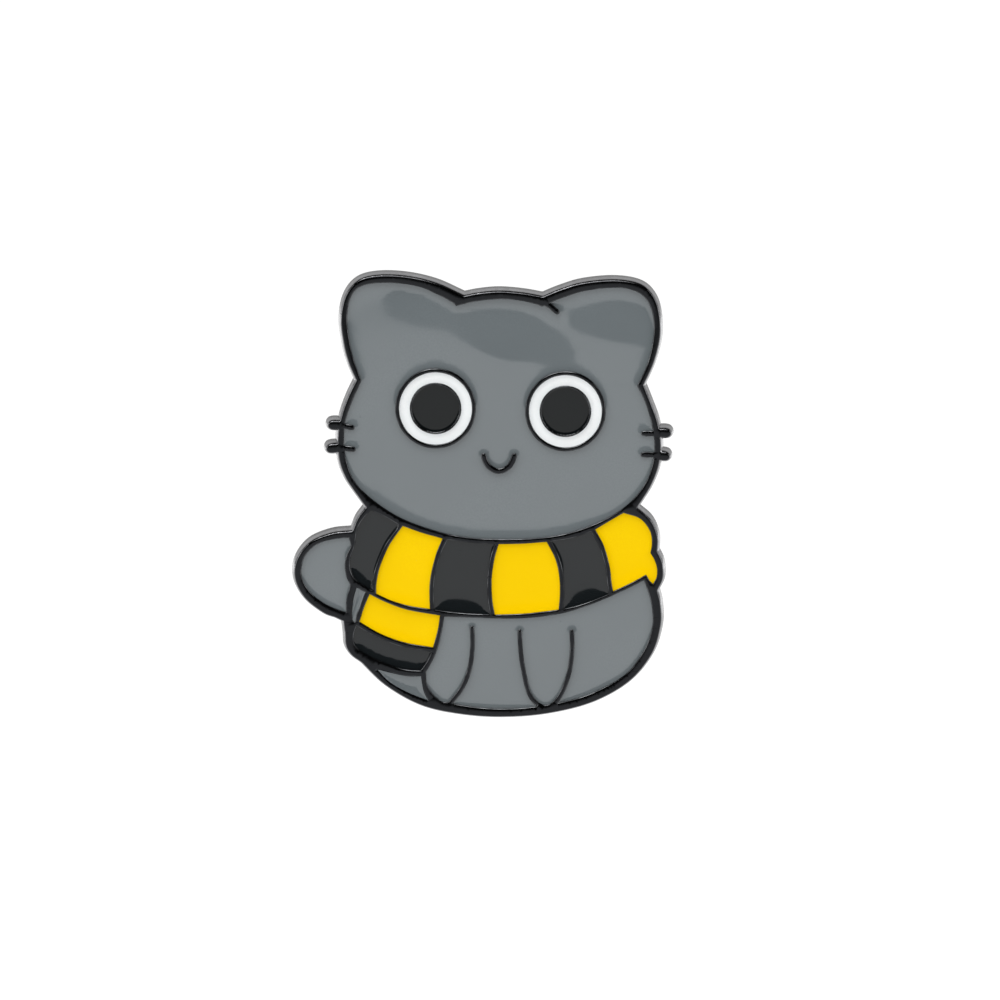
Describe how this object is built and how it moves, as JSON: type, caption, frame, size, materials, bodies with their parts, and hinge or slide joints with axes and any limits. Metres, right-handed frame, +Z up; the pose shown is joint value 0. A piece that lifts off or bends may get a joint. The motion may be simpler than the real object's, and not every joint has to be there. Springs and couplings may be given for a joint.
{
  "type": "enamel pin",
  "caption": "Metal badge shaped as a sitting cartoon kitten in a striped scarf, with recessed enamel fields between raised lines, and posts with butterfly clutches behind.",
  "frame": {"origin": "on the flat back of the plate, midway between the two posts", "axes": "+Z up the badge towards the ears, +Y out of the back along the posts towards the clutches, +X to the viewer's right as the face is seen from -Y"},
  "size_m": [0.0256, 0.0098, 0.0301],
  "materials": {
    "black_nickel": "polished black nickel plating over struck iron",
    "grey_enamel": "gloss soft enamel",
    "white_enamel": "gloss soft enamel",
    "pupil_enamel": "gloss soft enamel",
    "yellow_enamel": "gloss soft enamel",
    "charcoal_enamel": "gloss soft enamel",
    "bright_nickel": "bright nickel plating over brass",
    "solder": "matt solder",
    "spring_steel": "drawn wire"
  },
  "bodies": {
    "badge": {"base_plate": "black_nickel", "head_enamel": "grey_enamel", "tail_enamel": "grey_enamel", "flank_enamel": "grey_enamel", "haunch_enamel": "grey_enamel", "body_enamel": "grey_enamel", "left_eye_white_enamel": "white_enamel", "right_eye_white_enamel": "white_enamel", "left_pupil_enamel": "pupil_enamel", "right_pupil_enamel": "pupil_enamel", "scarf_yellow_left_enamel": "yellow_enamel", "scarf_yellow_middle_enamel": "yellow_enamel", "scarf_yellow_right_enamel": "yellow_enamel", "scarf_end_yellow_enamel": "yellow_enamel", "scarf_black_left_enamel": "charcoal_enamel", "scarf_black_middle_enamel": "charcoal_enamel", "scarf_black_right_enamel": "charcoal_enamel", "scarf_end_black_enamel": "charcoal_enamel", "upper_post": "bright_nickel", "upper_solder": "solder", "lower_post": "bright_nickel", "lower_solder": "solder"},
    "upper_disc": {"upper_clutch_disc": "bright_nickel"},
    "upper_cup": {"upper_clutch_cup": "bright_nickel", "upper_clutch_spring": "spring_steel"},
    "upper_left_wing": {"upper_left_wing": "bright_nickel"},
    "upper_right_wing": {"upper_right_wing": "bright_nickel"},
    "lower_disc": {"lower_clutch_disc": "bright_nickel"},
    "lower_cup": {"lower_clutch_cup": "bright_nickel", "lower_clutch_spring": "spring_steel"},
    "lower_left_wing": {"lower_left_wing": "bright_nickel"},
    "lower_right_wing": {"lower_right_wing": "bright_nickel"}
  },
  "joints": [
    {"name": "upper_clutch_slide", "type": "slide", "parent": "badge", "child": "upper_disc", "axis": [0, 1, 0], "range_m": [0, 0.009]},
    {"name": "upper_clutch_spin", "type": "hinge", "parent": "upper_disc", "child": "upper_cup", "pos_m": [0, 0.0022, 0.007], "axis": [0, 1, 0], "continuous": true},
    {"name": "upper_left_wing_squeeze", "type": "slide", "parent": "upper_cup", "child": "upper_left_wing", "axis": [1, 0, 0], "range_m": [0, 0.00045], "stiffness_N_per_m": 2000, "springref_m": -0.0005, "deforming": ["upper_clutch_spring"]},
    {"name": "upper_right_wing_squeeze", "type": "slide", "parent": "upper_cup", "child": "upper_right_wing", "axis": [1, 0, 0], "range_m": [-0.00045, 0], "stiffness_N_per_m": 2000, "springref_m": 0.0005},
    {"name": "lower_clutch_slide", "type": "slide", "parent": "badge", "child": "lower_disc", "axis": [0, 1, 0], "range_m": [0, 0.009]},
    {"name": "lower_clutch_spin", "type": "hinge", "parent": "lower_disc", "child": "lower_cup", "pos_m": [0, 0.0022, -0.007], "axis": [0, 1, 0], "continuous": true},
    {"name": "lower_left_wing_squeeze", "type": "slide", "parent": "lower_cup", "child": "lower_left_wing", "axis": [1, 0, 0], "range_m": [0, 0.00045], "stiffness_N_per_m": 2000, "springref_m": -0.0005, "deforming": ["lower_clutch_spring"]},
    {"name": "lower_right_wing_squeeze", "type": "slide", "parent": "lower_cup", "child": "lower_right_wing", "axis": [1, 0, 0], "range_m": [-0.00045, 0], "stiffness_N_per_m": 2000, "springref_m": 0.0005}
  ],
  "couplings": [
    {"joint": "upper_right_wing_squeeze", "follows": "upper_left_wing_squeeze", "ratio": -1},
    {"joint": "lower_right_wing_squeeze", "follows": "lower_left_wing_squeeze", "ratio": -1}
  ]
}
